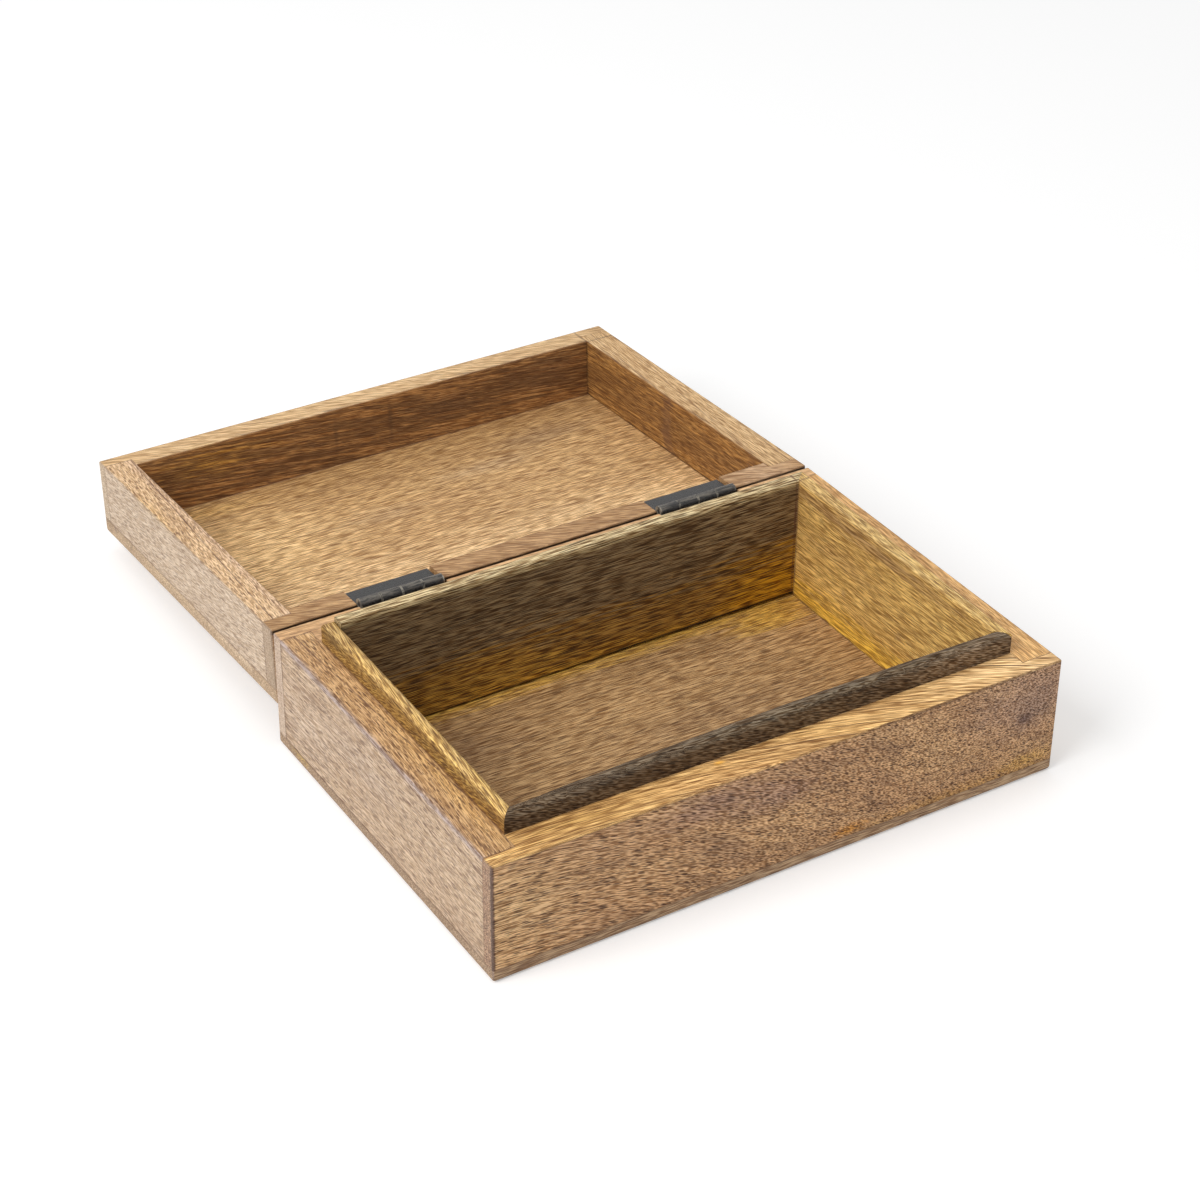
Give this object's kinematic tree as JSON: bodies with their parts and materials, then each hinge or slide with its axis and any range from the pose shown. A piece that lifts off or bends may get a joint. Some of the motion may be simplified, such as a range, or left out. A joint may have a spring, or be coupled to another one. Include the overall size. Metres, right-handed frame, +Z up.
{
  "type": "hinged card box",
  "caption": "Shallow rectangular wooden box with a hinged lid, rabbeted corners and a raised lining lip, standing open to hold a deck of tarot cards.",
  "frame": {"origin": "centre of the bottom board's underside, on the surface the box stands on", "axes": "+X along the hinge line, the front of the box at -Y and the opened lid at +Y, +Z up"},
  "size_m": [0.175, 0.2382, 0.0434],
  "materials": {
    "base_wood": "sanded, thin wax",
    "bottom_wood": "sanded, thin wax",
    "dark_lining_wood": "sanded, thin wax",
    "gold_lining_wood": "sanded, thin wax",
    "lid_wood": "sanded, thin wax",
    "panel_wood": "sanded, thin wax",
    "hinge_black": "worn black lacquer",
    "pin_steel": "plain drawn wire"
  },
  "bodies": {
    "base": {"base_front_wall": "base_wood", "base_back_wall": "base_wood", "base_left_wall": "base_wood", "base_right_wall": "base_wood", "bottom_board": "bottom_wood", "lining_front": "dark_lining_wood", "lining_back": "dark_lining_wood", "lining_left": "gold_lining_wood", "lining_right": "gold_lining_wood", "hinge_left_base_leaf": "hinge_black", "hinge_left_pin": "pin_steel", "hinge_right_base_leaf": "hinge_black", "hinge_right_pin": "pin_steel", "base_hinge_nails": "hinge_black"},
    "lid": {"lid_front_wall": "lid_wood", "lid_back_wall": "lid_wood", "lid_left_wall": "lid_wood", "lid_right_wall": "lid_wood", "lid_panel_strip": "panel_wood", "lid_panel_board": "panel_wood", "hinge_left_lid_leaf": "hinge_black", "hinge_right_lid_leaf": "hinge_black", "lid_hinge_nails": "hinge_black"}
  },
  "joints": [
    {"name": "lid_hinge", "type": "hinge", "parent": "base", "child": "lid", "pos_m": [0, 0.06006, 0.0363], "axis": [1, 0, 0], "range_deg": [0, 183]}
  ]
}
